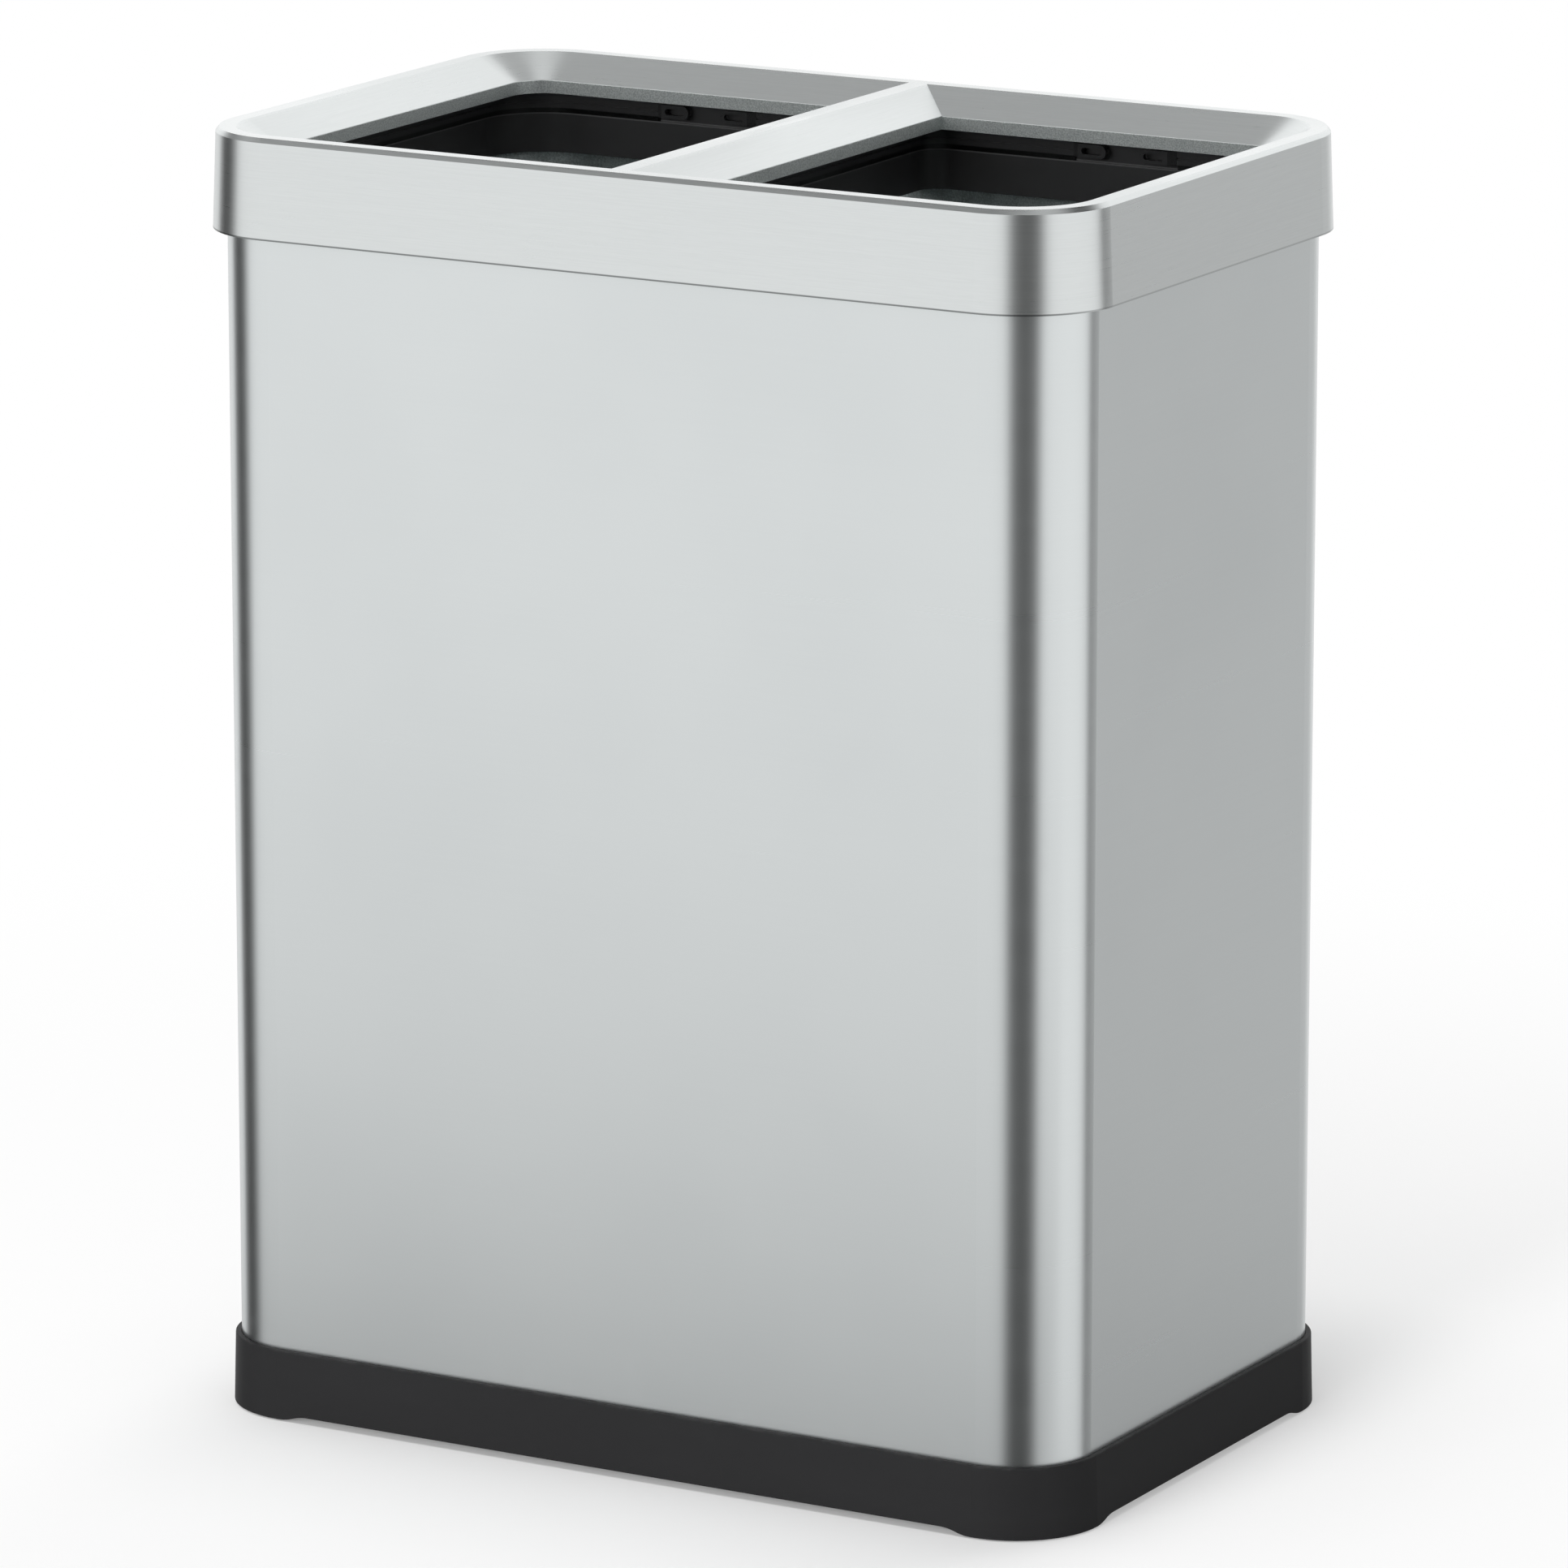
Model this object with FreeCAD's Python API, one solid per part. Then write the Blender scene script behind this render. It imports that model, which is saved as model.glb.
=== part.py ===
import FreeCAD, Part
import math
import os

# A free-standing double bin: a stainless shell on a black plastic base, a lift-off stainless rim
# with two mouths, and under each mouth a black collar that holds a bag with a split ring.
# Millimetres. The origin is on the floor under the middle of the bin, +Z is up, the front is -Y.
# An "outset" is measured outwards from the shell's outer face, and an "inset" inwards from it.

vec = FreeCAD.Vector
up = vec(0, 0, 1)

# Shell
body_width = 504.0
body_depth = 319.5
body_corner = 43.6
total_height = 685.0
shell_wall = 0.8

# Rim: flared skirt, small chamfer, flat land, sloping bevel and upright lip
rim_sheet = 1.0
rim_skirt_height = 52.7
rim_flare_bottom = 7.5
rim_flare_top = 5.6
rim_chamfer_width = 1.8
rim_chamfer_height = 2.4
rim_land_width = 8.5
rim_bevel_width = 20.0
rim_bevel_drop = 12.6
rim_lip_height = 7.1
divider_land_width = 10.7

# Collars and bag rings
collar_wall = 2.2
collar_gap = 0.3
collar_skirt_height = 43.0
collar_depth = 54.5
collar_shell_space = 3.2
throat_step = 1.9
throat_inner_corner = 20.8
ledge_depth = 32.9
skirt_notch_width = 28.0
guide_rib_width = 3.0
guide_rib_height = 16.0
guide_rib_gap = 0.4
guide_rib_pitch = 130.0
guide_rib_root = 0.5
bevel_room = 0.6
ring_gap = 0.3
ring_thickness = 2.7
ring_height = 7.4
ring_leg_height = 2.7
ring_leg_thickness = 1.5
ring_groove_height = 1.2
ring_groove_depth = 0.8
tab_gap = 19.8
tab_length = 16.5
tab_jog_length = 4.0
tab_jog_depth = 3.2
tab_slot_height = 3.4
tab_slot_rim = 2.4
tab_slot_length = 12.0

# Centre bridge between the two collars
bridge_sheet = 1.5
bridge_height = 27.0
bridge_tab_width = 24.0

# Base, feet and bottom plate
base_height = 38.5
base_lip_outset = 3.2
base_foot_outset = 4.2
base_edge_round = 0.7
base_floor_height = 8.0
base_floor_wall = 3.0
base_skirt_wall = 3.0
foot_length = 44.0
foot_blend_length = 18.0
arch_rise = 3.0
pad_proud = 0.6
pad_diameter = 28.0
pad_thickness = 2.5
pad_fit = 0.1
pad_edge_inset = 26.0
plate_sheet = 0.8
plate_above_base = 0.5
plate_fit = 0.1

# Fasteners
rivet_diameter = 3.2
rivet_head_diameter = 6.4
rivet_head_height = 1.1
rivet_tail_diameter = 4.6
rivet_tail_height = 1.5
rivet_depth = 38.0
end_rivet_pitch = 160.0
bridge_rivet_pitch = 15.0
bridge_rivet_depth = 19.0
screw_diameter = 4.0
screw_head_diameter = 8.0
screw_head_height = 2.2
screw_cross_width = 1.0
screw_cross_depth = 1.2
screw_tip_proud = 0.7
screw_boss_diameter = 12.0
screw_pitch_x = 170.0
screw_pitch_y = 240.0
rivet_hole_length = 5.0
hole_fit = 0.2

# Construction: how far a cutting shape runs past the surface it opens, and a matching tolerance
past = 1.0
far = 50.0
tolerance = 0.01

half_width = body_width / 2
half_depth = body_depth / 2

# Levels and insets that follow from the sizes above
rim_bottom = total_height - rim_skirt_height
rim_chamfer_bottom = total_height - rim_chamfer_height
land_outset = rim_flare_top - rim_chamfer_width
bevel_inset = rim_land_width - land_outset
lip_inset = bevel_inset + rim_bevel_width
bevel_slope = rim_bevel_width / rim_bevel_drop
bevel_underside_drop = rim_sheet * math.hypot(1, 1 / bevel_slope)
cell_end = divider_land_width / 2 - bevel_inset
lip_top = total_height - rim_bevel_drop
lip_bottom = lip_top - rim_lip_height
collar_top = total_height - rim_sheet
web_bottom = collar_top - collar_wall
collar_wall_inset = shell_wall + collar_shell_space
recess_inset = collar_wall_inset + collar_wall
throat_inset = recess_inset + throat_step
ledge_top = total_height - ledge_depth
throat_bottom = total_height - collar_depth
collar_skirt_bottom = collar_top - collar_skirt_height
ring_bar_bottom = ledge_top + ring_leg_height
ring_bar_top = ring_bar_bottom + ring_height
ring_back_inset = recess_inset + ring_gap
ring_face_inset = ring_back_inset + ring_thickness
rivet_level = total_height - rivet_depth
base_floor_bottom = base_floor_height - base_floor_wall
plate_height = base_height + plate_above_base
screw_head_top = base_floor_bottom + screw_head_height
screw_length = plate_height + screw_tip_proud - screw_head_top
cell_middle = (cell_end + half_width) / 2


def rounded_outline(x_low, x_high, y_low, y_high, radius_low, radius_high, z):
    """Closed rectangle at height z, with one corner radius at its low X end and one at its high."""
    corners = [
        (x_low, y_low, radius_low, 180),
        (x_high, y_low, radius_high, 270),
        (x_high, y_high, radius_high, 0),
        (x_low, y_high, radius_low, 90),
    ]
    ends = []
    arcs = []
    for x, y, radius, start in corners:
        centre_x = x + radius if x == x_low else x - radius
        centre_y = y + radius if y == y_low else y - radius
        points = []
        for angle in (start, start + 45, start + 90):
            turn = math.radians(angle)
            points.append(vec(centre_x + radius * math.cos(turn), centre_y + radius * math.sin(turn), z))
        ends.append((points[0], points[2]))
        arcs.append(Part.Arc(*points).toShape() if radius > 0 else None)
    edges = []
    for index in range(4):
        if arcs[index]:
            edges.append(arcs[index])
        edges.append(Part.makeLine(ends[index][1], ends[(index + 1) % 4][0]))
    return Part.Wire(edges)


def body_outline(outset, z):
    """The shell's own outline, moved outwards by outset."""
    x = half_width + outset
    y = half_depth + outset
    radius = body_corner + outset
    return rounded_outline(-x, x, -y, y, radius, radius, z)


def cell_outline(inset, z):
    """One bag compartment on the +X side, with rounded corners beside the bridge."""
    y = half_depth - inset
    return rounded_outline(
        cell_end + inset, half_width - inset, -y, y,
        throat_inner_corner - inset, body_corner - inset, z,
    )


def mouth_outline(inset, z):
    """One mouth of the rim on the +X side, with sharp corners beside the divider."""
    y = half_depth - inset
    return rounded_outline(cell_end + inset, half_width - inset, -y, y, 0, body_corner - inset, z)


def prism(outline, size, low, high):
    """Upright solid on the outline made by outline(size, z)."""
    return Part.Face(outline(size, low)).extrude(vec(0, 0, high - low))


def taper(outline, low_size, low, high_size, high):
    """Solid between two outlines of different size at two heights."""
    return Part.makeLoft([outline(low_size, low), outline(high_size, high)], True, True)


def block(x_low, x_high, y_low, y_high, z_low, z_high):
    return Part.makeBox(x_high - x_low, y_high - y_low, z_high - z_low, vec(x_low, y_low, z_low))


def mirrored(shape, normal):
    return shape.mirror(vec(0, 0, 0), normal)


def four_ways(shape):
    """The shape in all four quadrants."""
    pair = [shape, mirrored(shape, vec(1, 0, 0))]
    return pair + [mirrored(item, vec(0, 1, 0)) for item in pair]


def on_face(shape, place, outward):
    """Turns a shape built along +Z so that it points along outward, and puts it at place."""
    turned = shape.copy()
    turned.Placement = FreeCAD.Placement(place, FreeCAD.Rotation(up, outward))
    return turned


# ---- fasteners -------------------------------------------------------------------------------

def rivet(stack):
    """Blind rivet along -Z whose head sits on z = 0 and whose tail grips under the stack."""
    head = Part.makeCone(rivet_head_diameter / 2, rivet_head_diameter / 3, rivet_head_height)
    shank = Part.makeCylinder(rivet_diameter / 2, stack, vec(0, 0, -stack))
    tail_end = vec(0, 0, -stack - rivet_tail_height)
    tail = Part.makeCylinder(rivet_tail_diameter / 2, rivet_tail_height, tail_end)
    return head.fuse([shank, tail]).removeSplitter()


def rivet_hole(length):
    return Part.makeCylinder((rivet_diameter + hole_fit) / 2, 2 * length, vec(0, 0, -length))


def collar_rivet_places():
    """(point on the shell's outer face, outward direction) of every collar rivet."""
    places = []
    for side_x in (1, -1):
        for side_y in (1, -1):
            long_side = vec(side_x * cell_middle, side_y * half_depth, rivet_level)
            end = vec(side_x * half_width, side_y * end_rivet_pitch / 2, rivet_level)
            places.append((long_side, vec(0, side_y, 0)))
            places.append((end, vec(side_x, 0, 0)))
    return places


def bridge_rivet_places():
    level = total_height - bridge_rivet_depth
    places = []
    for side_x in (1, -1):
        for side_y in (1, -1):
            spot = vec(side_x * bridge_rivet_pitch / 2, side_y * half_depth, level)
            places.append((spot, vec(0, side_y, 0)))
    return places


def holes_at(places):
    return [on_face(rivet_hole(rivet_hole_length), place, outward) for place, outward in places]


def make_collar_rivets():
    head_outset = collar_gap + collar_wall
    stack = head_outset + shell_wall
    return [
        on_face(rivet(stack), place + outward * head_outset, outward)
        for place, outward in collar_rivet_places()
    ]


def make_bridge_rivets():
    stack = shell_wall + bridge_sheet
    return [on_face(rivet(stack), place, outward) for place, outward in bridge_rivet_places()]


def screw_places():
    """Screw centres: two rows of three."""
    return [
        vec(column * screw_pitch_x, row * screw_pitch_y / 2, 0)
        for column in (-1, 0, 1)
        for row in (-1, 1)
    ]


def make_base_screws():
    screws = []
    for place in screw_places():
        seat = place + vec(0, 0, base_floor_bottom)
        head = Part.makeCylinder(screw_head_diameter / 2, screw_head_height, seat)
        arm = screw_head_diameter / 4
        wide = screw_cross_width / 2
        cross = [
            block(-arm, arm, -wide, wide, 0, screw_cross_depth),
            block(-wide, wide, -arm, arm, 0, screw_cross_depth),
        ]
        for slot in cross:
            slot.translate(seat)
        shank = Part.makeCylinder(screw_diameter / 2, screw_length, place + vec(0, 0, screw_head_top))
        screws.append(head.cut(cross).fuse(shank).removeSplitter())
    return screws


# ---- shell, bottom and base ------------------------------------------------------------------

def make_body_shell():
    outside = prism(body_outline, 0, base_floor_height, web_bottom)
    inside = prism(body_outline, -shell_wall, base_floor_height, web_bottom)
    return outside.cut(inside).cut(holes_at(collar_rivet_places() + bridge_rivet_places()))


def make_bottom_plate():
    """Shallow pan, open side down, whose flange stands inside the shell's foot."""
    edge = -(shell_wall + plate_fit)
    pan = prism(body_outline, edge, base_floor_height, plate_height)
    pan = pan.cut(prism(body_outline, edge - plate_sheet, base_floor_height, plate_height - plate_sheet))
    holes = [
        Part.makeCylinder((screw_diameter + hole_fit) / 2, far, place)
        for place in screw_places()
    ]
    return pan.cut(holes)


def arch_cutter(half_length, reach):
    """Low arch under one side of the base, with a two-arc blend down to the foot at each end."""
    top = pad_proud + arch_rise
    foot_end = half_length - foot_length
    arch_end = foot_end - foot_blend_length
    middle = (foot_end + arch_end) / 2
    radius = (foot_blend_length ** 2 + arch_rise ** 2) / (4 * arch_rise)
    sweep = math.asin(foot_blend_length / 2 / radius) / 2
    rise = radius * (1 - math.cos(sweep))
    run = radius * math.sin(sweep)
    edges = []
    for side in (1, -1):
        foot = vec(side * foot_end, 0, pad_proud)
        inflection = vec(side * middle, 0, pad_proud + arch_rise / 2)
        arch = vec(side * arch_end, 0, top)
        edges.append(Part.Arc(foot, vec(side * (foot_end - run), 0, pad_proud + rise), inflection).toShape())
        edges.append(Part.Arc(inflection, vec(side * (arch_end + run), 0, top - rise), arch).toShape())
    edges.append(Part.makeLine(vec(arch_end, 0, top), vec(-arch_end, 0, top)))
    left_foot = vec(-foot_end, 0, pad_proud)
    right_foot = vec(foot_end, 0, pad_proud)
    drop = vec(0, 0, -pad_proud - past)
    edges.append(Part.makeLine(left_foot, left_foot + drop))
    edges.append(Part.makeLine(left_foot + drop, right_foot + drop))
    edges.append(Part.makeLine(right_foot + drop, right_foot))
    wire = Part.Wire(Part.__sortEdges__(edges))
    cutter = Part.Face(wire).extrude(vec(0, 2 * reach, 0))
    cutter.translate(vec(0, -reach, 0))
    return cutter


def outset_of(point):
    """How far a point lies outside the shell's outline in plan."""
    x = max(abs(point.x) - half_width + body_corner, 0)
    y = max(abs(point.y) - half_depth + body_corner, 0)
    return math.hypot(x, y) - body_corner


def outer_edges(base):
    """The base's outer edges at its top and along its feet and arches."""
    edges = []
    for edge in base.Edges:
        middle = edge.valueAt((edge.FirstParameter + edge.LastParameter) / 2)
        low = middle.z <= pad_proud + arch_rise + tolerance
        high = middle.z >= base_height - tolerance
        if outset_of(middle) > base_lip_outset - tolerance and (low or high):
            edges.append(edge)
    return edges


def pad_place():
    return vec(half_width - pad_edge_inset, half_depth - pad_edge_inset, 0)


def make_base_moulding():
    base = taper(body_outline, base_foot_outset, pad_proud, base_lip_outset, base_height)
    side_arch = arch_cutter(half_depth, half_width + far)
    side_arch.rotate(vec(0, 0, 0), up, 90)
    base = base.cut([arch_cutter(half_width, half_depth + far), side_arch])
    base = base.makeFillet(base_edge_round, outer_edges(base))
    base = base.cut(prism(body_outline, collar_gap, base_floor_height, base_height + past))
    under = prism(body_outline, base_foot_outset - base_skirt_wall, pad_proud - past, base_floor_bottom)
    foot = block(half_width - foot_length, half_width + far, half_depth - foot_length, half_depth + far,
                 pad_proud - past, base_floor_bottom)
    base = base.cut(under.cut(four_ways(foot)))
    bosses = []
    bores = []
    for place in screw_places():
        floor = place + vec(0, 0, base_floor_height)
        boss_height = plate_height - plate_sheet - base_floor_height
        bosses.append(Part.makeCylinder(screw_boss_diameter / 2, boss_height, floor))
        bores.append(Part.makeCylinder((screw_diameter + hole_fit) / 2, plate_height, place))
        bores.append(Part.makeCylinder((screw_head_diameter + hole_fit) / 2, screw_head_top, place))
    base = base.fuse(bosses).cut(bores)
    recess = Part.makeCylinder(pad_diameter / 2 + pad_fit, pad_thickness, pad_place())
    return base.cut(four_ways(recess))


def make_foot_pad():
    return Part.makeCylinder(pad_diameter / 2, pad_thickness, pad_place())


# ---- top of the shell: bridge, collars and rings ---------------------------------------------

def make_centre_bridge():
    """Inverted channel from front to back, with a tab riveted to the shell at each end."""
    x = cell_end + collar_wall_inset - collar_gap
    y = half_depth - shell_wall
    bottom = web_bottom - bridge_height
    channel = block(-x, x, -y, y, bottom, web_bottom)
    hollow = block(-x + bridge_sheet, x - bridge_sheet, -y + bridge_sheet, y - bridge_sheet,
                   bottom - past, web_bottom - bridge_sheet)
    tab = block(-bridge_tab_width / 2, bridge_tab_width / 2, y - bridge_sheet, y, bottom, web_bottom)
    bridge = channel.cut(hollow).fuse([tab, mirrored(tab, vec(0, 1, 0))]).removeSplitter()
    return bridge.cut(holes_at(bridge_rivet_places()))


def half_outline(outset, z):
    """The shell's outline on the +X side only, stopping just short of the middle."""
    y = half_depth + outset
    return rounded_outline(collar_gap / 2, half_width + outset, -y, y, 0, body_corner + outset, z)


def guide_ribs():
    """Upright ribs outside the collar that centre the rim's skirt."""
    root = collar_gap + collar_wall - guide_rib_root
    tip = rim_flare_top - rim_sheet - guide_rib_gap
    low = web_bottom - guide_rib_height
    high = rim_chamfer_bottom - rim_sheet
    ribs = []
    half_rib = guide_rib_width / 2
    for side in (1, -1):
        x = cell_middle + side * guide_rib_pitch / 2
        across = block(x - half_rib, x + half_rib, half_depth + root, half_depth + tip, low, high)
        ribs += [across, mirrored(across, vec(0, 1, 0))]
        y = side * guide_rib_pitch / 2
        ribs.append(block(half_width + root, half_width + tip, y - half_rib, y + half_rib, low, high))
    return ribs


def bevel_clearance():
    """Room under the rim's bevel, down to where its sharp corners come out into the recess."""
    top_inset = bevel_inset - (bevel_underside_drop - rim_sheet) * bevel_slope - bevel_room
    corner = throat_inner_corner
    low_inset = corner - (corner - recess_inset) / math.sqrt(2)
    return taper(mouth_outline, low_inset, collar_top - (low_inset - top_inset) / bevel_slope,
                 top_inset, collar_top)


def make_bag_collar():
    """Right-hand collar: an inverted channel over the shell's edge, with a recess for the bag ring,
    the ledge that the ring stands on, and the throat wall below it."""
    face = collar_gap + collar_wall
    throat_back = throat_inset - collar_wall
    collar = prism(half_outline, face, collar_skirt_bottom, collar_top)
    space = prism(half_outline, collar_gap, collar_skirt_bottom - past, web_bottom)
    space = space.fuse(block(-far, collar_gap, -half_depth - collar_gap, half_depth + collar_gap,
                             collar_skirt_bottom - past, web_bottom))
    upper_wall = prism(cell_outline, collar_wall_inset, ledge_top - collar_wall, web_bottom)
    collar = collar.cut(space).fuse([upper_wall, prism(cell_outline, throat_back, throat_bottom, ledge_top)])
    collar = collar.cut(prism(cell_outline, recess_inset, ledge_top, total_height))
    collar = collar.cut(prism(cell_outline, throat_inset, throat_bottom - past, total_height))
    collar = collar.cut(bevel_clearance())
    notch = block(-far, skirt_notch_width / 2, half_depth + collar_gap, half_depth + far,
                  collar_skirt_bottom - past, web_bottom)
    collar = collar.cut([notch, mirrored(notch, vec(0, 1, 0))])
    collar = collar.fuse(guide_ribs()).removeSplitter()
    return collar.cut(holes_at(collar_rivet_places()))


def ring_tab():
    """Pinch tab on the +X side of the ring's gap: it jogs away from the collar and ends in a
    rounded, slotted nose. Built about x = 0 at the back wall."""
    back = half_depth - ring_back_inset
    nose = tab_gap / 2
    jog_start = nose + tab_length
    jog_end = jog_start + tab_jog_length
    inner = back - tab_jog_depth
    plan = [
        (nose, inner), (jog_start, inner), (jog_end, back),
        (jog_end, back - ring_thickness), (jog_start, inner - ring_thickness), (nose, inner - ring_thickness),
    ]
    points = [vec(x, y, ring_bar_bottom) for x, y in plan]
    strip = Part.Face(Part.makePolygon(points + points[:1])).extrude(vec(0, 0, ring_height))
    radius = ring_height / 2
    level = ring_bar_bottom + radius
    front = inner - ring_thickness - past
    width = back - front + past
    side = Part.makeCylinder(radius, width, vec(nose + radius, front, level), vec(0, 1, 0))
    side = side.fuse(block(nose + radius, jog_end + past, front, front + width,
                           ring_bar_bottom, ring_bar_top))
    slot_radius = tab_slot_height / 2
    slot_start = nose + tab_slot_rim + slot_radius
    slot_end = nose + tab_slot_rim + tab_slot_length - slot_radius
    slot = block(slot_start, slot_end, front, front + width, level - slot_radius, level + slot_radius)
    ends = [
        Part.makeCylinder(slot_radius, width, vec(x, front, level), vec(0, 1, 0))
        for x in (slot_start, slot_end)
    ]
    return strip.common(side).cut(slot.fuse(ends))


def make_bag_ring():
    """Right-hand split ring: a grooved bar on a thinner leg, open at the middle of the back."""
    bar = prism(cell_outline, ring_back_inset, ring_bar_bottom, ring_bar_top)
    bar = bar.cut(prism(cell_outline, ring_face_inset, ring_bar_bottom, ring_bar_top))
    leg = prism(cell_outline, ring_back_inset, ledge_top, ring_bar_bottom)
    leg = leg.cut(prism(cell_outline, ring_back_inset + ring_leg_thickness, ledge_top, ring_bar_bottom))
    middle = ring_bar_bottom + ring_height / 2
    groove = prism(cell_outline, ring_face_inset - ring_groove_depth,
                   middle - ring_groove_height / 2, middle + ring_groove_height / 2)
    opening = tab_gap / 2 + tab_length + tab_jog_length
    centre = cell_middle
    gap = block(centre - opening, centre + opening, half_depth - ring_face_inset - past, half_depth,
                ledge_top - past, total_height)
    ring = bar.fuse(leg).removeSplitter().cut(groove).cut(gap)
    tab = ring_tab()
    tabs = [tab, mirrored(tab, vec(1, 0, 0))]
    for item in tabs:
        item.translate(vec(centre, 0, 0))
    return ring.fuse(tabs).removeSplitter()


# ---- rim -------------------------------------------------------------------------------------

def mouth_pocket():
    """Everything that is open inside one mouth: the bevelled funnel and the throat of the lip."""
    funnel = taper(mouth_outline, lip_inset, lip_top, bevel_inset - past * bevel_slope, total_height + past)
    return funnel.fuse(prism(mouth_outline, lip_inset, rim_bottom, lip_top))


def mouth_cup():
    """The same shape one sheet larger, before the pocket is taken out of it."""
    outer_lip = lip_inset - rim_sheet
    turn = total_height - bevel_underside_drop - (outer_lip - bevel_inset) / bevel_slope
    funnel = taper(mouth_outline, outer_lip, turn,
                   bevel_inset - bevel_underside_drop * bevel_slope, total_height)
    return funnel.fuse(prism(mouth_outline, outer_lip, lip_bottom, turn))


def make_rim():
    """The whole pressed rim, before the divider is taken out of it."""
    outside = taper(body_outline, rim_flare_bottom, rim_bottom, rim_flare_top, rim_chamfer_bottom)
    outside = outside.fuse(taper(body_outline, rim_flare_top, rim_chamfer_bottom, land_outset, total_height))
    inner_turn = rim_chamfer_bottom - rim_sheet / 2
    inside = taper(body_outline, rim_flare_bottom - rim_sheet, rim_bottom,
                   rim_flare_top - rim_sheet, inner_turn)
    inside = inside.fuse(taper(body_outline, rim_flare_top - rim_sheet, inner_turn,
                               land_outset - rim_sheet / 2, total_height - rim_sheet))
    cup = mouth_cup()
    rim = outside.cut(inside).fuse([cup, mirrored(cup, vec(1, 0, 0))])
    pocket = mouth_pocket()
    return rim.cut([pocket, mirrored(pocket, vec(1, 0, 0))]).removeSplitter()


def divider_zone():
    """Plan zone of the divider: its two ends are mitred at the corners of the mouths."""
    land = divider_land_width / 2
    y = half_depth - bevel_inset
    reach = rim_bevel_width + land
    quarter = [(land, y), (land + reach, y - reach)]
    plan = quarter + [(x, -y2) for x, y2 in reversed(quarter)]
    plan += [(-x, y2) for x, y2 in reversed(plan)]
    points = [vec(x, y2, rim_bottom) for x, y2 in plan]
    return Part.Face(Part.makePolygon(points + points[:1])).extrude(vec(0, 0, rim_skirt_height + past))


def write(name, solids):
    shape = solids[0] if len(solids) == 1 else Part.makeCompound(solids)
    shape.exportStep("parts/" + name + ".step")
    valid = all(solid.isValid() for solid in solids)
    print(name, "solids", len(shape.Solids), "volume", round(shape.Volume), "valid", valid)


def main():
    os.makedirs("parts", exist_ok=True)
    write("body_shell", [make_body_shell()])
    write("bottom_plate", [make_bottom_plate()])
    write("base_moulding", [make_base_moulding()])
    write("base_screws", make_base_screws())
    names = ("back_right", "back_left", "front_right", "front_left")
    for name, pad in zip(names, four_ways(make_foot_pad())):
        write("foot_pad_" + name, [pad])
    write("centre_bridge", [make_centre_bridge()])
    write("bridge_rivets", make_bridge_rivets())
    write("collar_rivets", make_collar_rivets())
    collar = make_bag_collar()
    ring = make_bag_ring()
    for side, name in ((1, "right"), (-1, "left")):
        write("bag_collar_" + name, [collar if side > 0 else mirrored(collar, vec(1, 0, 0))])
        write("bag_ring_" + name, [ring if side > 0 else mirrored(ring, vec(1, 0, 0))])
    rim = make_rim()
    zone = divider_zone()
    write("rim_frame", [rim.cut(zone)])
    write("rim_divider", [rim.common(zone)])


main()
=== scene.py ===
import math

import bpy
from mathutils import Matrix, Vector

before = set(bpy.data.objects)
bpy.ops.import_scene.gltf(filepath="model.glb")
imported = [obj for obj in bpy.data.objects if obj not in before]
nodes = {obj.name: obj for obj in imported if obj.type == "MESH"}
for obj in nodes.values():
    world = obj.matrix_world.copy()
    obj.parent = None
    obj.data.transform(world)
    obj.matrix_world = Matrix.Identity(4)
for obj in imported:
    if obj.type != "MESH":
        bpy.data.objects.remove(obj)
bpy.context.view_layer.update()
bpy.ops.object.select_all(action="DESELECT")
print("frame loaded:", len(nodes), "nodes")

# The bin's own sizes in metres, as the solids have them
measures = {
    "halfWidth": 0.252,
    "halfDepth": 0.15975,
    "corner": 0.0436,
    "baseTop": 0.0385,
    "rimBottom": 0.6323,
    "rimTop": 0.685,
    "lipTop": 0.6724,
}


class Wire:
    # One output socket, with the sums that shader maths needs
    def __init__(self, graph, socket):
        self.graph = graph
        self.socket = socket

    def maths(self, operation, *others):
        settings = {"operation": operation}
        return self.graph.add("ShaderNodeMath", settings, dict(enumerate((self,) + others)))

    def __add__(self, other):
        return self.maths("ADD", other)

    def __radd__(self, other):
        return self.maths("ADD", other)

    def __sub__(self, other):
        return self.maths("SUBTRACT", other)

    def __rsub__(self, other):
        return self.graph.add("ShaderNodeMath", {"operation": "SUBTRACT"}, {0: other, 1: self})

    def __mul__(self, other):
        return self.maths("MULTIPLY", other)

    def __rmul__(self, other):
        return self.maths("MULTIPLY", other)

    def __truediv__(self, other):
        return self.maths("DIVIDE", other)

    def __abs__(self):
        return self.maths("ABSOLUTE")

    def atLeast(self, other):
        return self.maths("MAXIMUM", other)

    def atMost(self, other):
        return self.maths("MINIMUM", other)

    def swing(self, amount):
        # A noise from 0 to 1 as a rise and fall about zero
        return (self - 0.5) * amount

    def fade(self, start, end, low=0.0, high=1.0):
        # Smooth step: low at start and before, high at end and after
        settings = {"interpolation_type": "SMOOTHSTEP"}
        values = {"Value": self, "From Min": start, "From Max": end, "To Min": low, "To Max": high}
        if start > end:
            values.update({"From Min": end, "From Max": start, "To Min": high, "To Max": low})
        return self.graph.add("ShaderNodeMapRange", settings, values)


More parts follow.
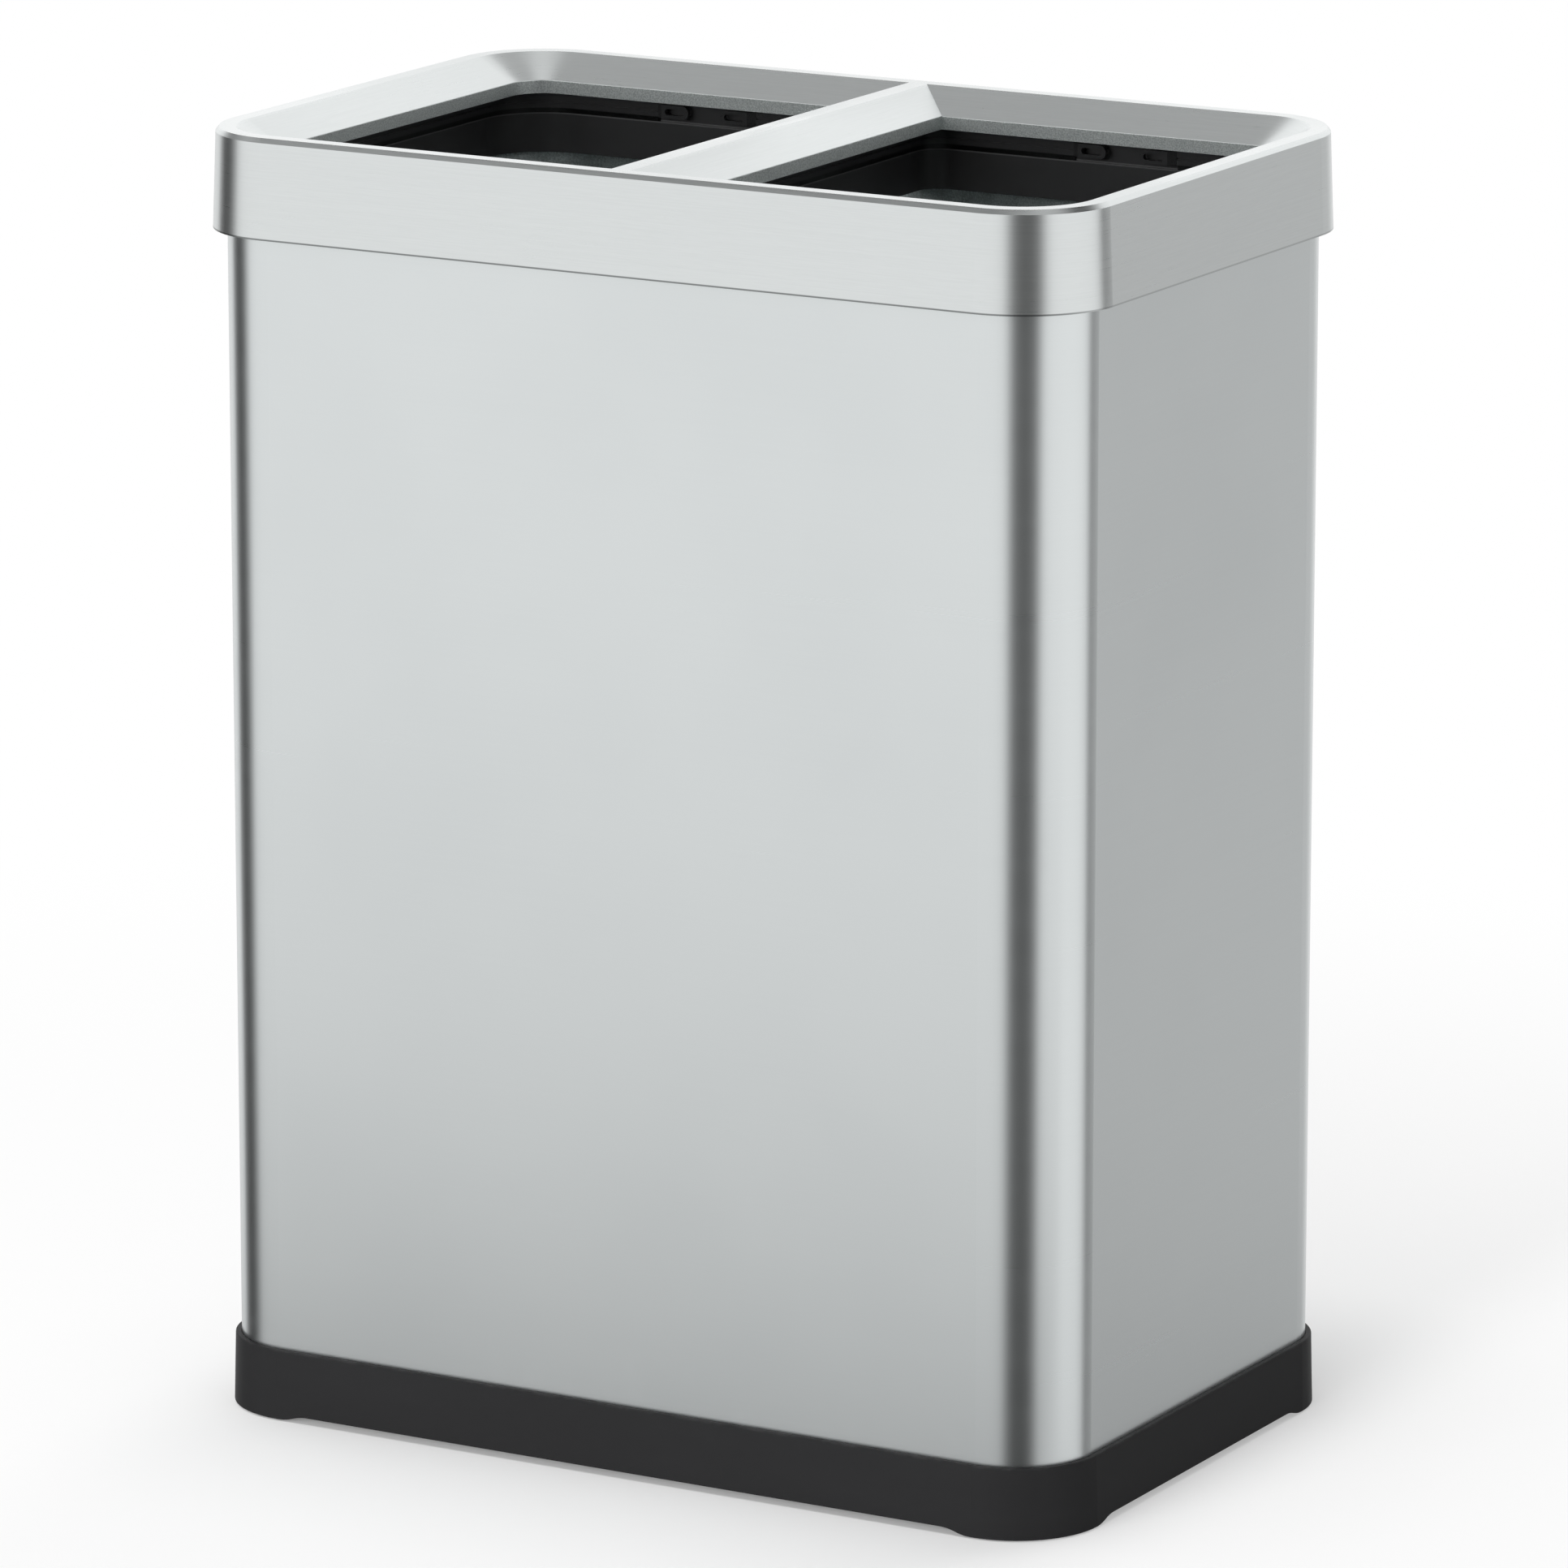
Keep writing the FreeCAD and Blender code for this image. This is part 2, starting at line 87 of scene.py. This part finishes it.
class Graph:
    # Builds the nodes of one material or of the world
    def __init__(self, tree):
        self.tree = tree
        tree.nodes.clear()

    def add(self, kind, settings=None, inputs=None, output=0):
        node = self.tree.nodes.new(kind)
        for name, value in (settings or {}).items():
            setattr(node, name, value)
        for key, value in (inputs or {}).items():
            if isinstance(value, Wire):
                self.tree.links.new(value.socket, node.inputs[key])
            else:
                node.inputs[key].default_value = value
        return Wire(self, node.outputs[output]) if node.outputs else node

    def place(self):
        return self.add("ShaderNodeTexCoord", output="Object")

    def rays(self, *names):
        # 1 for rays of any of the named kinds
        path = self.add("ShaderNodeLightPath").socket.node
        kinds = [Wire(self, path.outputs[name]) for name in names]
        return sum(kinds[1:], kinds[0]).atMost(1.0) if len(kinds) > 1 else kinds[0]

    def axes(self, vector):
        split = self.add("ShaderNodeSeparateXYZ", inputs={0: vector})
        return [Wire(self, socket) for socket in split.socket.node.outputs]

    def noise(self, vector, scale=1.0, detail=2.0, roughness=0.5, stretch=None):
        # A stretch counts waves per metre along each axis, for strokes and runs
        if stretch:
            vector = self.add("ShaderNodeVectorMath", {"operation": "MULTIPLY"}, {0: vector, 1: stretch})
        values = {"Vector": vector, "Scale": scale, "Detail": detail, "Roughness": roughness}
        return self.add("ShaderNodeTexNoise", inputs=values)

    def blend(self, factor, first, second):
        colours = {0: factor, 6: self.paint(first), 7: self.paint(second)}
        return self.add("ShaderNodeMix", {"data_type": "RGBA"}, colours, output=2)

    def paint(self, colour):
        return colour if isinstance(colour, Wire) else (*colour, 1.0)

    def bump(self, height, strength, distance, under=None):
        values = {"Height": height, "Strength": strength, "Distance": distance}
        if under:
            values["Normal"] = under
        return self.add("ShaderNodeBump", inputs=values)

    def glow(self, level):
        # White light at level 1, black at 0
        return self.add("ShaderNodeEmission", inputs={"Color": (level, level, level, 1.0), "Strength": level})

    def mix(self, factor, first, second):
        return self.add("ShaderNodeMixShader", inputs={0: factor, 1: first, 2: second})

    def close(self, surface):
        self.add("ShaderNodeOutputMaterial", inputs={"Surface": surface})


def newMaterial(name):
    material = bpy.data.materials.new(name)
    material.use_nodes = True
    return material, Graph(material.node_tree)


def closeMaterial(graph, surface):
    graph.close(graph.add("ShaderNodeBsdfPrincipled", inputs=surface))


def depthInside(graph, x, y):
    # How far a point lies inside the shell's outer face, in plan
    reachX = (abs(x) - (measures["halfWidth"] - measures["corner"])).atLeast(0.0)
    reachY = (abs(y) - (measures["halfDepth"] - measures["corner"])).atLeast(0.0)
    return measures["corner"] - (reachX * reachX + reachY * reachY).maths("SQRT")


bodySteel = {
    "colour": (0.849, 0.885, 0.886),
    "shade": (0.809, 0.845, 0.848),
    "roughness": 0.27,
    "anisotropy": 0.35,
    "brushTurn": 0.25,
    "brush": {"stretch": (6, 6, 1400), "detail": 2.0, "roughness": 0.6},
    "brushShare": 0.4,
    "brushRoughness": 0.03,
    "brushBump": (0.006, 0.00012),
    "broad": {"stretch": (1.5, 1.5, 90), "detail": 2.0, "roughness": 0.5},
    "broadRoughness": 0.03,
    "cloud": {"scale": 5.5, "detail": 3.0, "roughness": 0.55},
    "cloudFade": (0.35, 0.7),
    "cloudShare": 0.6,
    "innerFace": (0.0002, 0.0006),
    "inside": (0.80, 0.86, 0.86),
    "insideDark": (0.52, 0.57, 0.57),
    "insideRoughness": 0.42,
    "grain": {"scale": 900, "detail": 3.0, "roughness": 0.75},
    "grainShare": 0.75,
    "grainBump": (0.35, 0.0004),
    "run": {"stretch": (60, 60, 5), "detail": 2.0, "roughness": 0.6},
    "runShare": 0.25,
    "millFade": (0.4, 0.62),
    "seamWidth": (0.0011, 0.0003),
    "seamSide": (0.12, 0.15),
    "seamColour": (0.5, 0.5, 0.49),
    "seamTint": 0.35,
    "seamRoughness": 0.12,
    "seamBump": (0.5, 0.00025),
    "scuff": {"scale": 75, "detail": 4.0, "roughness": 0.6},
    "scuffFade": (0.5, 0.75),
    "scuffHeight": 0.05,
    "scuffRoughness": 0.03,
}


def makeBodySteel():
    look = bodySteel
    material, graph = newMaterial("bodySteel")
    place = graph.place()
    x, y, z = graph.axes(place)
    # Very fine horizontal brushing that wraps round the corners
    brush = graph.noise(place, **look["brush"])
    broad = graph.noise(place, **look["broad"])
    cloud = graph.noise(place, **look["cloud"]).fade(*look["cloudFade"])
    tone = cloud * look["cloudShare"] + brush * look["brushShare"]
    outer = graph.blend(tone, look["colour"], look["shade"])
    # The inside keeps the mill finish, grainier and darker than the brushed outside
    grain = graph.noise(place, **look["grain"])
    run = graph.noise(place, **look["run"])
    mill = (grain * look["grainShare"] + run * look["runShare"]).fade(*look["millFade"])
    inner = graph.blend(mill, look["insideDark"], look["inside"])
    inside = depthInside(graph, x, y).fade(*look["innerFace"])
    # Weld line down the middle of the back, ground flush
    seam = abs(x).fade(*look["seamWidth"]) * y.fade(*look["seamSide"])
    # Faint scuffs close above the base, seen only in the roughness
    low = z.fade(measures["baseTop"] + look["scuffHeight"], measures["baseTop"])
    scuffs = low * graph.noise(place, **look["scuff"]).fade(*look["scuffFade"])
    colour = graph.blend(inside, outer, inner)
    colour = graph.blend(seam * look["seamTint"], colour, look["seamColour"])
    roughness = look["roughness"] + brush.swing(look["brushRoughness"]) + broad * look["broadRoughness"]
    roughness = roughness + scuffs * look["scuffRoughness"] + seam * look["seamRoughness"]
    roughness = roughness + inside * (look["insideRoughness"] - look["roughness"])
    normal = graph.bump(brush, *look["brushBump"])
    normal = graph.bump(grain * inside, *look["grainBump"], normal)
    normal = graph.bump(seam, *look["seamBump"], normal)
    closeMaterial(graph, {
        "Base Color": colour, "Metallic": 1.0, "Roughness": roughness, "Normal": normal,
        "Anisotropic": look["anisotropy"], "Anisotropic Rotation": look["brushTurn"],
    })
    return material


rimSteel = {
    "colour": (0.828, 0.858, 0.856),
    "shade": (0.79, 0.82, 0.818),
    "roughness": 0.29,
    "anisotropy": 0.45,
    "brushTurn": 0.25,
    "long": {"stretch": (9, 9, 1700), "detail": 3.0, "roughness": 0.7},
    "longShare": 0.55,
    "short": {"stretch": (55, 55, 1150), "detail": 3.0, "roughness": 0.7},
    "shortShare": 0.45,
    "strokeFade": (0.3, 0.7),
    "strokeRoughness": 0.1,
    "strokeBump": (0.035, 0.0002),
    "cloud": {"scale": 8, "detail": 3.0, "roughness": 0.5},
    "cloudRoughness": 0.04,
    "raw": (0.78, 0.82, 0.81),
    "rawDark": (0.52, 0.56, 0.555),
    "rawRoughness": 0.4,
    "rawDepth": (0.009, 0.012),
    "rawEdge": 0.0005,
    "grain": {"scale": 1250, "detail": 3.0, "roughness": 0.8},
    "grainFade": (0.38, 0.62),
    "grainRoughness": 0.15,
    "grainBump": (0.5, 0.0005),
    "worn": (0.88, 0.9, 0.9),
    "wornWidth": 0.0012,
    "wornFade": (0.4, 0.62),
    "wornTint": 0.4,
    "wornRoughness": -0.05,
    # Painted shade: the dark line along the foot of the skirt
    "shadeLineColour": (0.16, 0.17, 0.17),
    "shadeLineHeight": (0.0011, 0.0006),
    "shadeLineSide": (-0.12, -0.155, 0.35, 0.85),
}


def makeRimSteel():
    look = rimSteel
    material, graph = newMaterial("rimSteel")
    place = graph.place()
    x, y, z = graph.axes(place)
    # Coarser brushing along the rim: short strokes over long ones
    long = graph.noise(place, **look["long"])
    short = graph.noise(place, **look["short"])
    stroke = long * look["longShare"] + short * look["shortShare"]
    cloud = graph.noise(place, **look["cloud"])
    colour = graph.blend(stroke.fade(*look["strokeFade"]), look["shade"], look["colour"])
    # The lip and the underside keep the sheet's raw, grainy finish
    below = z.fade(measures["lipTop"], measures["lipTop"] - look["rawEdge"])
    raw = depthInside(graph, x, y).fade(*look["rawDepth"]) * below
    grain = graph.noise(place, **look["grain"])
    rawColour = graph.blend(grain.fade(*look["grainFade"]), look["rawDark"], look["raw"])
    colour = graph.blend(raw, colour, rawColour)
    # The top edge that hands and bags rub is a little smoother and brighter
    worn = abs(z - measures["rimTop"]).fade(look["wornWidth"], 0.0) * cloud.fade(*look["wornFade"])
    colour = graph.blend(worn * look["wornTint"], colour, look["worn"])
    # Painted shade: a thin dark line along the foot of the skirt, where the gap over the body lies in shadow,
    # darkest along the front
    shadeStart, shadeEnd = look["shadeLineHeight"]
    shadeLine = z.fade(measures["rimBottom"] + shadeStart, measures["rimBottom"] + shadeEnd)
    colour = graph.blend(shadeLine * y.fade(*look["shadeLineSide"]), colour, look["shadeLineColour"])
    smooth = look["roughness"] + stroke.swing(look["strokeRoughness"]) + cloud.swing(look["cloudRoughness"])
    smooth = smooth + worn * look["wornRoughness"]
    roughness = smooth + raw * (look["rawRoughness"] + grain * look["grainRoughness"] - smooth)
    normal = graph.bump(stroke, *look["strokeBump"])
    normal = graph.bump(grain * raw, *look["grainBump"], normal)
    closeMaterial(graph, {
        "Base Color": colour, "Metallic": 1.0, "Roughness": roughness, "Normal": normal,
        "Anisotropic": look["anisotropy"], "Anisotropic Rotation": look["brushTurn"],
    })
    return material


zincCoat = {
    "light": (0.56, 0.58, 0.6),
    "dark": (0.36, 0.385, 0.4),
    "roughness": 0.32,
    "spangle": 85.0,
    "flakeShare": 0.7,
    "flakeRoughness": 0.2,
    "dust": {"scale": 300, "detail": 3.0, "roughness": 0.6},
    "dustShare": 0.3,
    "dustRoughness": 0.15,
    "dustBump": (0.12, 0.0003),
}


def makeZincCoat():
    look = zincCoat
    material, graph = newMaterial("zincCoat")
    place = graph.place()
    cells = graph.add("ShaderNodeTexVoronoi", {"feature": "F1"},
                      {"Vector": place, "Scale": look["spangle"]}, output="Color")
    flake = graph.axes(cells)[0]
    dust = graph.noise(place, **look["dust"])
    tone = flake * look["flakeShare"] + dust * look["dustShare"]
    rough = flake * look["flakeRoughness"] + dust * look["dustRoughness"] + look["roughness"]
    closeMaterial(graph, {
        "Base Color": graph.blend(tone, look["dark"], look["light"]), "Metallic": 1.0, "Roughness": rough,
        "Normal": graph.bump(dust, *look["dustBump"]),
    })
    return material


fastenerSteel = {
    "light": (0.62, 0.62, 0.61),
    "dark": (0.42, 0.42, 0.4),
    "roughness": 0.2,
    "patina": {"scale": 420, "detail": 3.0, "roughness": 0.6},
    "patinaFade": (0.35, 0.7),
    "patinaRoughness": 0.25,
    "patinaBump": (0.15, 0.0002),
}


def makeFastenerSteel():
    look = fastenerSteel
    material, graph = newMaterial("fastenerSteel")
    patina = graph.noise(graph.place(), **look["patina"])
    closeMaterial(graph, {
        "Base Color": graph.blend(patina.fade(*look["patinaFade"]), look["light"], look["dark"]),
        "Metallic": 1.0, "Roughness": patina * look["patinaRoughness"] + look["roughness"],
        "Normal": graph.bump(patina, *look["patinaBump"]),
    })
    return material


mouldings = {
    "basePlastic": {
        "colour": (0.026, 0.026, 0.027), "worn": (0.055, 0.055, 0.057), "roughness": 0.46,
        "gloss": 0.06, "leather": 1500.0, "depth": 0.00008, "edges": (0.0383, 0.0006),
    },
    "collarPlastic": {
        "colour": (0.04, 0.04, 0.041), "worn": (0.06, 0.06, 0.062), "roughness": 0.36,
        "gloss": 0.5, "leather": 1800.0, "depth": 0.00006, "edges": (0.6840, 0.6521),
        # Painted highlight along the ledge's edge
        "ledge": 0.6521, "polished": (0.12, 0.12, 0.122),
    },
    "ringPlastic": {
        "colour": (0.034, 0.034, 0.035), "worn": (0.05, 0.05, 0.052), "roughness": 0.3,
        "gloss": 0.6, "leather": 2200.0, "depth": 0.00004, "edges": (0.6622, 0.6548),
        "gapTop": 0.6551, "unlit": (0.001, 0.001, 0.001),
    },
}
mouldedGrain = {
    "grain": {"detail": 2.0, "roughness": 0.6},
    "grainRoughness": 0.12,
    "grainStrength": 0.3,
    "flow": {"stretch": (9, 9, 30), "detail": 3.0, "roughness": 0.5},
    "flowTint": 0.25,
    "flowRoughness": 0.08,
    "blotch": {"scale": 60, "detail": 4.0, "roughness": 0.65},
    "blotchFade": (0.45, 0.65),
    "edgeWidth": 0.0014,
    "edgeWearAndSheen": 0.45,
    "ledgeWidth": (0.0009, 0.0004),
    "gapFade": 0.0004,
}


def makeMoulding(name):
    # Black moulded plastic: spark-eroded grain, faint flow marks, and paler edges, part rubbed wear and part
    # painted highlight
    look, shared = mouldings[name], mouldedGrain
    material, graph = newMaterial(name)
    place = graph.place()
    z = graph.axes(place)[2]
    grain = graph.noise(place, look["leather"], **shared["grain"])
    flow = graph.noise(place, **shared["flow"])
    blotch = graph.noise(place, **shared["blotch"]).fade(*shared["blotchFade"])
    # Edges painted paler: part wear, part painted highlight where the rounded edges catch light
    high, low = (abs(z - level).fade(shared["edgeWidth"], 0.0) for level in look["edges"])
    rubAndSheen = high.atLeast(low) * blotch * shared["edgeWearAndSheen"] + flow.swing(shared["flowTint"])
    colour = graph.blend(rubAndSheen.atLeast(0.0), look["colour"], look["worn"])
    if "ledge" in look:
        # Painted highlight: a pale line along the ledge's edge under the ring, where a rounded edge would
        # catch light
        line = abs(z - look["ledge"]).fade(*shared["ledgeWidth"])
        colour = graph.blend(line, colour, look["polished"])
    if "gapTop" in look:
        # The ring's foot stands back in a gap that gathers no light
        foot = z.fade(look["gapTop"], look["gapTop"] - shared["gapFade"])
        colour = graph.blend(foot, colour, look["unlit"])
    rough = look["roughness"] + grain.swing(shared["grainRoughness"]) + flow.swing(shared["flowRoughness"])
    closeMaterial(graph, {
        "Base Color": colour, "Roughness": rough, "Specular IOR Level": look["gloss"],
        "Normal": graph.bump(grain, shared["grainStrength"], look["depth"]),
    })
    return material


padRubber = {
    "colour": (0.018, 0.018, 0.018),
    "dusty": (0.05, 0.048, 0.045),
    "roughness": 0.72,
    "speck": {"scale": 700, "detail": 3.0, "roughness": 0.65},
    "speckRoughness": 0.15,
    "speckBump": (0.4, 0.0003),
    "dust": {"scale": 40, "detail": 3.0, "roughness": 0.6},
    "dustFade": (0.45, 0.75),
}


def makePadRubber():
    look = padRubber
    material, graph = newMaterial("padRubber")
    place = graph.place()
    speck = graph.noise(place, **look["speck"])
    dust = graph.noise(place, **look["dust"]).fade(*look["dustFade"])
    closeMaterial(graph, {
        "Base Color": graph.blend(dust, look["colour"], look["dusty"]),
        "Roughness": speck * look["speckRoughness"] + look["roughness"],
        "Normal": graph.bump(speck, *look["speckBump"]),
    })
    return material


steel = makeBodySteel()
rim = makeRimSteel()
zinc = makeZincCoat()
fastener = makeFastenerSteel()
base = makeMoulding("basePlastic")
collar = makeMoulding("collarPlastic")
ring = makeMoulding("ringPlastic")
rubber = makePadRubber()
print("materials made")

finishOf = {
    "body_shell": steel,
    "rim_frame": rim,
    "rim_divider": rim,
    "bottom_plate": zinc,
    "centre_bridge": zinc,
    "bridge_rivets": fastener,
    "collar_rivets": fastener,
    "base_screws": fastener,
    "base_moulding": base,
    "bag_collar_right": collar,
    "bag_collar_left": collar,
    "bag_ring_right": ring,
    "bag_ring_left": ring,
    "foot_pad_back_right": rubber,
    "foot_pad_back_left": rubber,
    "foot_pad_front_right": rubber,
    "foot_pad_front_left": rubber,
}
for nodeName, finish in finishOf.items():
    for materialSlot in nodes[nodeName].material_slots:
        materialSlot.material = finish
print("finishes set")

# Distances from the bin are in metres. Each shade is its depth at the bin and its fall per metre
floorLook = {
    "size": 60.0,
    "colour": (0.93, 0.93, 0.93),
    "nearWhite": 0.2,
    "nearRise": 0.4,
    "nearFade": (0.0, 0.2),
    "farFade": (0.15, 1.1),
    "endFade": (0.2, 0.32),
    "endWhite": 0.62,
    "shadeFront": (-0.1, -0.25),
    "frontShade": (0.57, -1.4),
    "sideShade": (0.24, -2.5),
    "contactShade": (0.06, -14.0),
}


def shadeAt(gap, depth, fall):
    return (gap * fall).maths("EXPONENT") * depth


def makeFloor():
    look = floorLook
    bpy.ops.mesh.primitive_plane_add(size=look["size"], location=(0, 0, 0))
    floor = bpy.context.object
    floor.name = "floor"
    material, graph = newMaterial("floorPaper")
    x, y = graph.axes(graph.place())[:2]
    gap = -1.0 * depthInside(graph, x, y)
    # The camera sees the paper's shadow fade into plain white away from the bin
    near = gap.fade(*look["nearFade"]) * look["nearRise"] + look["nearWhite"]
    near = near + abs(x).fade(*look["endFade"]) * look["endWhite"] * (1 - near)
    white = near + gap.fade(*look["farFade"]) * (1 - near)
    seen = graph.rays("Is Camera Ray", "Is Transmission Ray")
    paper = graph.add("ShaderNodeBsdfDiffuse", inputs={"Color": (*look["colour"], 1.0)})
    direct = graph.mix(seen * white, paper, graph.glow(1.0))
    # The steel shows the studio's white past the paper, less the shade round the bin's foot
    away = gap.atLeast(0.0)
    front, side, contact = (
        shadeAt(away, *look[name]) for name in ("frontShade", "sideShade", "contactShade")
    )
    shaded = side + y.fade(*look["shadeFront"]) * (front - side) + contact
    clear = graph.add("ShaderNodeBsdfTransparent")
    mirrored = graph.mix(shaded, clear, graph.glow(0.0))
    surface = graph.mix(graph.rays("Is Glossy Ray"), direct, mirrored)
    # From below the paper doesn't hide the bin
    below = graph.add("ShaderNodeNewGeometry", output="Backfacing")
    graph.close(graph.mix(below, surface, clear))
    floor.data.materials.append(material)


# Widths are in degrees either side of a flag's azimuth, from full to none. Heights are the upward
# part of a direction, from -1 straight down to 1 straight up
studio = {
    "radius": 15.0,
    "segments": 48,
    "rings": 24,
    "flags": (
        {"azimuth": 33.4, "halfWidth": (9.5, 27.0), "height": (0.75, 0.45), "left": 0.1},
        {"azimuth": -86.5, "halfWidth": (5.0, 24.0), "height": (0.75, 0.45), "left": 0.06},
        {"azimuth": 136.0, "halfWidth": (2.0, 8.0), "height": (0.75, 0.45), "left": 0.25},
        {"azimuth": 152.0, "halfWidth": (14.0, 34.0), "height": (0.24, 0.1), "left": 0.63},
        {"azimuth": 120.0, "halfWidth": (13.0, 27.0), "height": (0.3, 0.5), "left": 0.04},
        {"azimuth": -30.0, "halfWidth": (50.0, 100.0), "height": (0.5, 0.68), "left": 0.45},
    ),
    "levelFade": (-0.06, 0.1),
    "levelLeft": 0.815,
    "ceilingFade": (0.64, 0.77),
    "ceilingLeft": 0.46,
    "overheadFade": (0.93, 0.985),
    "plainLevel": 0.55,
    "straightUp": 0.001,
}


def dimmed(x, y, z, level, flag):
    # Light left in the directions of one flag. Azimuths count from the front towards +X
    turn = math.radians(flag["azimuth"])
    facing = (x * math.sin(turn) - y * math.cos(turn)) / level
    inner, outer = (math.cos(math.radians(width)) for width in flag["halfWidth"])
    return 1 - facing.fade(outer, inner) * z.fade(*flag["height"]) * (1 - flag["left"])


def makeFlags():
    # A thin tent inside the white studio, darker where its flags, ceiling and lower half are
    look = studio
    bpy.ops.mesh.primitive_uv_sphere_add(
        segments=look["segments"], ring_count=look["rings"], radius=look["radius"], location=(0, 0, 0))
    tent = bpy.context.object
    tent.name = "flags"
    material, graph = newMaterial("flagCloth")
    direction = graph.add("ShaderNodeVectorMath", {"operation": "NORMALIZE"}, {0: graph.place()})
    x, y, z = graph.axes(direction)
    level = (x * x + y * y).maths("SQRT").atLeast(look["straightUp"])
    left = z.fade(*look["ceilingFade"], 1.0, look["ceilingLeft"])
    left = left * z.fade(*look["levelFade"], look["levelLeft"], 1.0)
    for flag in look["flags"]:
        left = left * dimmed(x, y, z, level, flag)
    left = left.atLeast(z.fade(*look["overheadFade"]))
    # Only what the steel mirrors is dimmed: the camera looks through to the white
    left = left.atLeast(graph.rays("Is Camera Ray", "Is Transmission Ray"))
    clear = graph.add("ShaderNodeBsdfTransparent")
    graph.close(graph.mix(left, graph.glow(0.0), clear))
    tent.data.materials.append(material)


def makeStudio():
    # White to the camera and to mirrored rays, and a plain level of light on dull surfaces
    world = bpy.data.worlds.new("studio")
    bpy.context.scene.world = world
    world.use_nodes = True
    graph = Graph(world.node_tree)
    white = graph.rays("Is Camera Ray", "Is Glossy Ray", "Is Transmission Ray")
    strength = white + (1 - white) * studio["plainLevel"]
    background = graph.add("ShaderNodeBackground", inputs={"Color": (1, 1, 1, 1), "Strength": strength})
    graph.add("ShaderNodeOutputWorld", inputs={"Surface": background})


lamps = {
    "top": {"place": (-0.4, -0.5, 3.2), "aim": (0, 0, 0.3), "size": (2.6, 2.2), "watts": 55.0},
    "back": {"place": (0.9, 2.6, 1.9), "aim": (0, 0, 0.4), "size": (2.0, 1.6), "watts": 18.0},
    "front": {"place": (-0.3, -3.0, 1.0), "aim": (0, 0, 0.2), "size": (1.6, 1.2), "watts": 50.0},
}


def makeLamps():
    for name, look in lamps.items():
        light = bpy.data.lights.new(name, "AREA")
        light.shape = "RECTANGLE"
        light.size, light.size_y = look["size"]
        light.energy = look["watts"]
        lamp = bpy.data.objects.new(name, light)
        bpy.context.scene.collection.objects.link(lamp)
        lamp.location = look["place"]
        aim = Vector(look["aim"]) - lamp.location
        lamp.rotation_euler = aim.to_track_quat("-Z", "Y").to_euler()
        lamp.visible_glossy = False


# Angles in degrees, the azimuth from the front towards +X. Lens and sensor in millimetres
view = {
    "azimuth": 29.580, "elevation": 13.279, "distance": 5.20866,
    "target": (0.0011, 0.0095, 0.3340), "lens": 227.87, "sensor": 36.0,
}


def makeCamera():
    turn, tilt = math.radians(view["azimuth"]), math.radians(view["elevation"])
    away = Vector((math.sin(turn) * math.cos(tilt), -math.cos(turn) * math.cos(tilt), math.sin(tilt)))
    data = bpy.data.cameras.new("camera")
    data.lens = view["lens"]
    data.sensor_width = view["sensor"]
    camera = bpy.data.objects.new("camera", data)
    bpy.context.scene.collection.objects.link(camera)
    camera.location = Vector(view["target"]) + away * view["distance"]
    camera.rotation_euler = (-away).to_track_quat("-Z", "Y").to_euler()
    bpy.context.scene.camera = camera


makeFloor()
makeFlags()
makeStudio()
makeLamps()
makeCamera()
bpy.context.scene.view_settings.view_transform = "Standard"
print("studio made")
